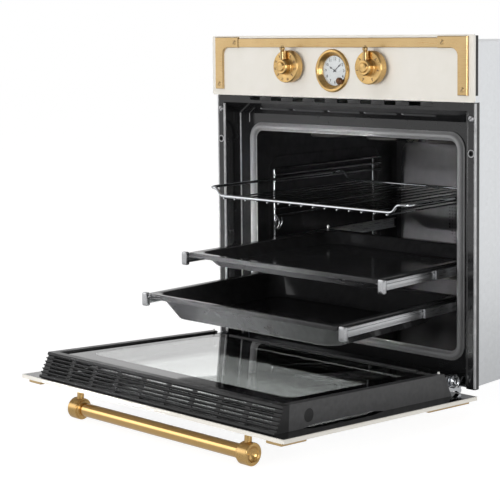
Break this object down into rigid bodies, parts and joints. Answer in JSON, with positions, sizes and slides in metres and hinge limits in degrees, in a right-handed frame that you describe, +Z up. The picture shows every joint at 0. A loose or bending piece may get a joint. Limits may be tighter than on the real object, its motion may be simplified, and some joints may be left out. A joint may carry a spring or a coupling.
{
  "type": "built-in oven",
  "caption": "Built-in electric oven with a cream and gilt control fascia, clock, turned knobs, drop-down glass door, wire shelf and trays on telescopic rails",
  "frame": {"origin": "middle of the cabinet's front plane at the niche floor, on the underside of the base plate's front tongue", "axes": "+X to the right seen from the front, +Y from the room into the cabinet, +Z up"},
  "size_m": [0.595, 1.0326, 0.6304],
  "materials": {
    "zinc_sheet": "zinc-plated sheet, dull",
    "pale_plastic": "moulded, matt",
    "black_enamel": "fired enamel, glossy, fine speckle",
    "plated_steel": "bright zinc plate",
    "mineral_wool": "compressed fibre",
    "seal_fibre": "braided fibre over a core",
    "cream_enamel": "smooth enamel, satin",
    "dark_frame": "powder coat, satin",
    "black_plastic": "moulded, satin",
    "gilt_metal": "brushed old gold",
    "silver_dial": "silvered, satin",
    "clear_glass": "clear float glass",
    "black_glass": "glass, printed black at the border",
    "black_paint": "painted, satin",
    "white_rubber": "moulded, matt",
    "element_steel": "dark heated sheath",
    "chromed_wire": "bright chrome",
    "tray_enamel": "fired enamel, glossy"
  },
  "bodies": {
    "oven": {"base_plate": "zinc_sheet", "bracket_screws": "gilt_metal", "casing": "zinc_sheet", "cavity": "black_enamel", "clock_bezel": "gilt_metal", "clock_dial": "silver_dial", "clock_glass": "clear_glass", "clock_movement": "black_plastic", "cooling_blower": "zinc_sheet", "corner_brackets": "gilt_metal", "door_seal": "seal_fibre", "fan_cover": "black_enamel", "fan_motor": "zinc_sheet", "fascia": "cream_enamel", "fascia_housing": "black_plastic", "frame_screws": "plated_steel", "front_frame": "black_enamel", "grill_element": "element_steel", "hinge_arms": "zinc_sheet", "insulation": "mineral_wool", "lamp_holder": "pale_plastic", "lamp_lens": "clear_glass", "lower_element": "element_steel", "rail_guides": "plated_steel", "rear_cover": "zinc_sheet", "ring_element": "element_steel", "selector_switch": "pale_plastic", "side_racks": "chromed_wire", "terminal_block": "pale_plastic", "thermostat": "zinc_sheet", "trim_bar": "gilt_metal"},
    "door": {"door_sheet": "cream_enamel", "outer_pane": "black_glass", "door_side_frames": "dark_frame", "door_plugs": "black_plastic", "middle_glass": "clear_glass", "inner_glass": "clear_glass", "door_base_trim": "dark_frame", "door_grille": "black_plastic", "door_bumpers": "white_rubber", "door_brackets": "gilt_metal", "handle_bar": "gilt_metal", "handle_ends": "gilt_metal", "hinge_cheeks": "zinc_sheet"},
    "upper_drawer": {"upper_tray": "tray_enamel", "upper_slides": "plated_steel"},
    "lower_drawer": {"lower_tray": "tray_enamel", "lower_slides": "plated_steel"},
    "upper_middle_members": {"upper_mids": "plated_steel"},
    "lower_middle_members": {"lower_mids": "plated_steel"},
    "shelf": {"wire_shelf": "chromed_wire"},
    "left_knob": {"knob_left": "gilt_metal", "knob_left_lever": "gilt_metal"},
    "right_knob": {"knob_right": "gilt_metal", "knob_right_lever": "gilt_metal"},
    "hour_hand": {"clock_hour_hand": "black_paint"},
    "minute_hand": {"clock_minute_hand": "black_paint"},
    "setting_knob": {"clock_knob": "gilt_metal"},
    "fan": {"fan_wheel": "zinc_sheet"},
    "impeller": {"blower_impeller": "zinc_sheet"}
  },
  "joints": [
    {"name": "door_hinge", "type": "hinge", "parent": "oven", "child": "door", "pos_m": [0, -0.01076, -0.0037], "axis": [-1, 0, 0], "range_deg": [0, 86.17]},
    {"name": "lower_tray_slide", "type": "slide", "parent": "oven", "child": "lower_drawer", "axis": [0, 1, 0], "range_m": [0, 0.405]},
    {"name": "upper_tray_slide", "type": "slide", "parent": "oven", "child": "upper_drawer", "axis": [0, 1, 0], "range_m": [0, 0.225]},
    {"name": "lower_middle_slide", "type": "slide", "parent": "oven", "child": "lower_middle_members", "axis": [0, 1, 0], "range_m": [0, 0.2025]},
    {"name": "upper_middle_slide", "type": "slide", "parent": "oven", "child": "upper_middle_members", "axis": [0, 1, 0], "range_m": [0, 0.1125]},
    {"name": "shelf_slide", "type": "slide", "parent": "oven", "child": "shelf", "axis": [0, 1, 0], "range_m": [0, 0.15]},
    {"name": "selector_turn", "type": "hinge", "parent": "oven", "child": "left_knob", "pos_m": [-0.0945, 0, 0.5327], "axis": [0, 1, 0], "range_deg": [0, 324]},
    {"name": "thermostat_turn", "type": "hinge", "parent": "oven", "child": "right_knob", "pos_m": [0.0945, 0, 0.5327], "axis": [0, 1, 0], "range_deg": [0, 270]},
    {"name": "setting_turn", "type": "hinge", "parent": "oven", "child": "setting_knob", "pos_m": [0.02191, 0, 0.50837], "axis": [0, 1, 0], "continuous": true},
    {"name": "minute_hand_turn", "type": "hinge", "parent": "oven", "child": "minute_hand", "pos_m": [0, 0, 0.5258], "axis": [0, 1, 0], "continuous": true},
    {"name": "hour_hand_turn", "type": "hinge", "parent": "oven", "child": "hour_hand", "pos_m": [0, 0, 0.5258], "axis": [0, 1, 0], "continuous": true},
    {"name": "fan_turn", "type": "hinge", "parent": "oven", "child": "fan", "pos_m": [0, 0.49, 0.218], "axis": [0, 1, 0], "continuous": true},
    {"name": "impeller_turn", "type": "hinge", "parent": "oven", "child": "impeller", "pos_m": [0, 0.4, 0.47], "axis": [0, 0, 1], "continuous": true}
  ],
  "couplings": [
    {"joint": "lower_tray_slide", "follows": "door_hinge", "m_per_rad": 0.26929},
    {"joint": "upper_tray_slide", "follows": "door_hinge", "m_per_rad": 0.14961},
    {"joint": "lower_middle_slide", "follows": "door_hinge", "m_per_rad": 0.13464},
    {"joint": "upper_middle_slide", "follows": "door_hinge", "m_per_rad": 0.074803},
    {"joint": "shelf_slide", "follows": "door_hinge", "m_per_rad": 0.099737},
    {"joint": "minute_hand_turn", "follows": "setting_turn", "ratio": 1},
    {"joint": "hour_hand_turn", "follows": "setting_turn", "ratio": 0.083333}
  ]
}
